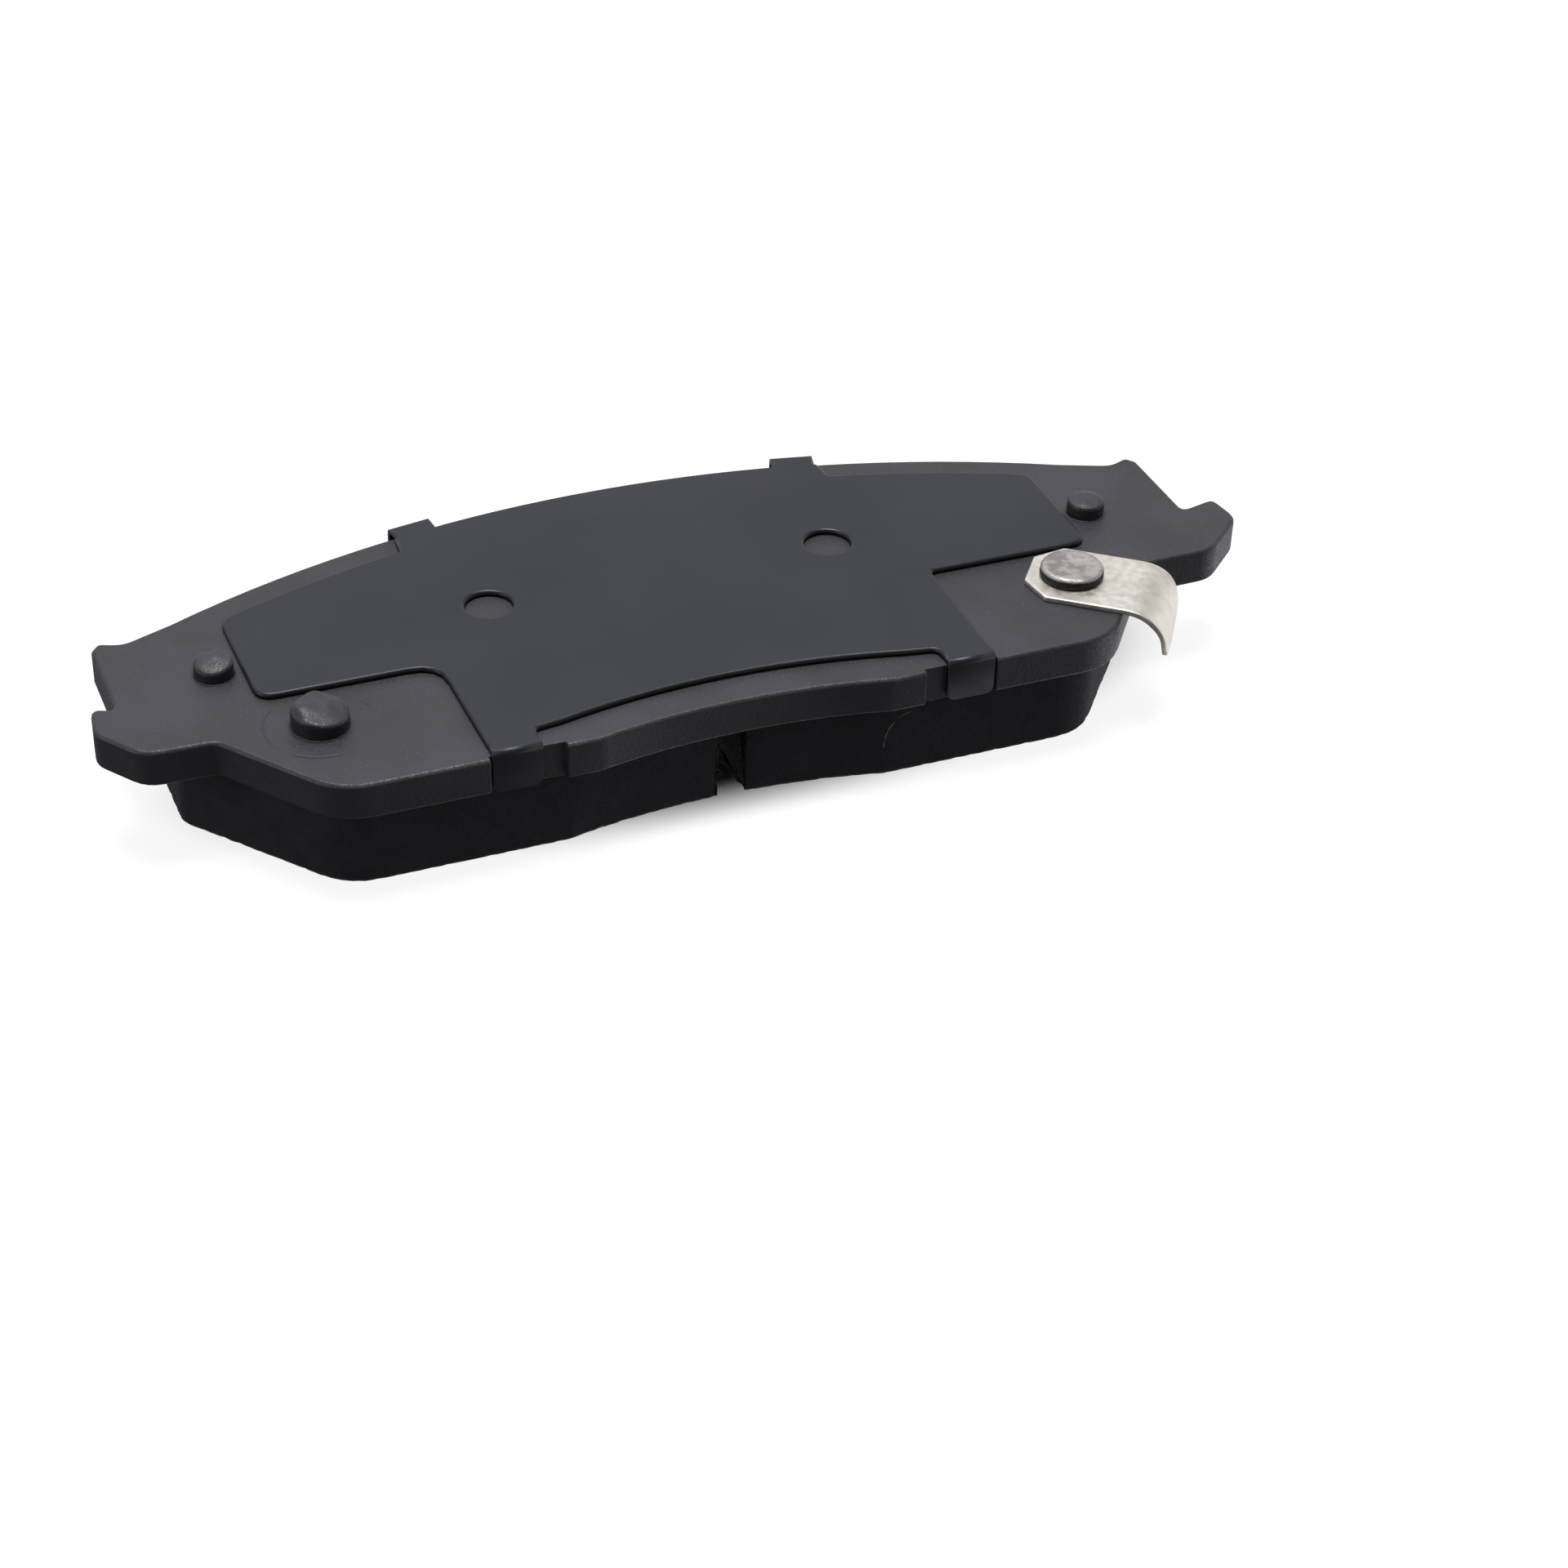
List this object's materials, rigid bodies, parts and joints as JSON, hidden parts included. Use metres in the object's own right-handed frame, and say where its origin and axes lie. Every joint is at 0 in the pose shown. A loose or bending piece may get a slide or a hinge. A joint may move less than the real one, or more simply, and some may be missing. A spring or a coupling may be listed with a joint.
{
  "type": "disc brake pad",
  "caption": "Disc brake pad: hooked steel backing plate, slotted friction block, clip-on shim with bent tabs, and a riveted wear indicator leaf.",
  "frame": {"origin": "middle of the pad's box, on the friction face it lies on", "axes": "+X along the pad towards the wear indicator, +Y towards the convex outer edge, +Z from the friction face to the back of the plate"},
  "size_m": [0.1544, 0.056, 0.0197],
  "materials": {
    "friction_block": "ground, rough, with pale fibres",
    "underlayer": "moulded, painted over",
    "backing_plate": "matte black powder coat",
    "shim_liner": "matte",
    "shim": "satin black coating",
    "wear_indicator": "plated spring steel",
    "rivet": "bare, mottled"
  },
  "bodies": {
    "root": {"backing_plate": "backing_plate", "underlayer": "underlayer", "friction_block": "friction_block", "wear_indicator_foot": "wear_indicator", "indicator_rivet": "rivet"},
    "shim": {"shim": "shim", "shim_liner": "shim_liner"},
    "indicator": {"wear_indicator_leaf": "wear_indicator"}
  },
  "joints": [
    {"name": "shim_lift", "type": "slide", "parent": "root", "child": "shim", "axis": [0, 0, 1], "range_m": [0, 0.025]},
    {"name": "indicator_flex", "type": "hinge", "parent": "root", "child": "indicator", "pos_m": [0.05526, -0.01866, 0.01741], "axis": [-0.6052, -0.7961, 0], "range_deg": [-4, 8], "stiffness_Nm_per_rad": 6.9}
  ]
}
